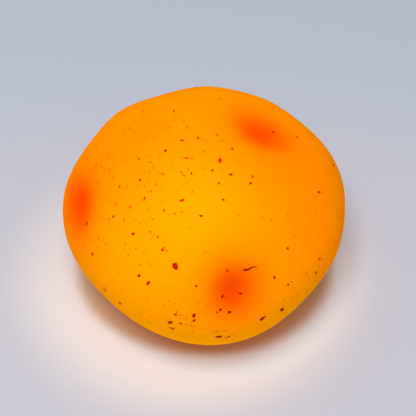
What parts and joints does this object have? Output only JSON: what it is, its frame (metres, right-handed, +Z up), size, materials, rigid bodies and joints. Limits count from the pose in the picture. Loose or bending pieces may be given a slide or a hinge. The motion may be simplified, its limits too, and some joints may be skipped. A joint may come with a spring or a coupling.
{
  "type": "stress ball",
  "caption": "soft hand-sized squeeze ball: translucent moulded skin over a heavy gel filling, sagged flat underneath, dented by fingers, flecked with pigment, with a plugged filling port",
  "frame": {"origin": "on the surface the ball rests on, under the middle of its outline", "axes": "+Z up, through the flat foot and the crown; +X to the right and -Y towards the viewer, who looks along +Y"},
  "size_m": [0.0698, 0.0702, 0.0523],
  "materials": {
    "skin": "satin translucent thermoplastic rubber",
    "filling": "thick translucent gel",
    "port_stopper": "soft matte plastic",
    "glue_ring": "clear cured adhesive",
    "seal_patch": "satin thermoplastic rubber",
    "pigment_flecks": "matte pigment",
    "pigment_streak": "matte pigment"
  },
  "bodies": {
    "root": {"skin": "skin", "filling": "filling", "port_stopper": "port_stopper", "glue_ring": "glue_ring", "seal_patch": "seal_patch", "pigment_flecks": "pigment_flecks", "pigment_streak": "pigment_streak"}
  },
  "joints": []
}
